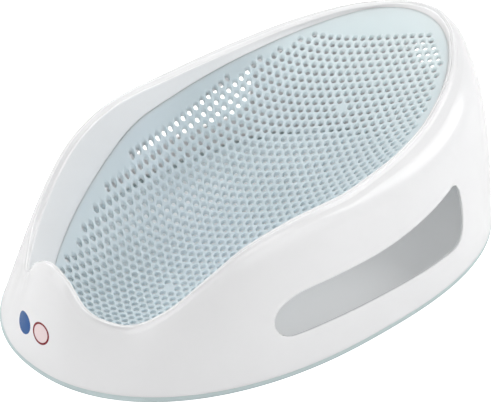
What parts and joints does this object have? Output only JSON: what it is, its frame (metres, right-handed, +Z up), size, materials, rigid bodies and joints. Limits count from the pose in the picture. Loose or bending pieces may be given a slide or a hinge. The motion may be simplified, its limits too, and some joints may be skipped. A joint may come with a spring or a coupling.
{
  "type": "baby bath support",
  "caption": "Reclined baby bath support: hollow white shell with side windows and rolled rim, soft perforated seat and a soft strip round the bottom edge.",
  "frame": {"origin": "centre of the bottom edge, on the plane it rests on", "axes": "+X towards the head end, +Y across the width, +Z up"},
  "size_m": [0.58, 0.371, 0.2043],
  "materials": {
    "shell": "gloss",
    "soft_seat": "satin",
    "grip_strip": "matte"
  },
  "bodies": {
    "root": {"shell": "shell", "soft_seat": "soft_seat", "grip_strip": "grip_strip"}
  },
  "joints": []
}
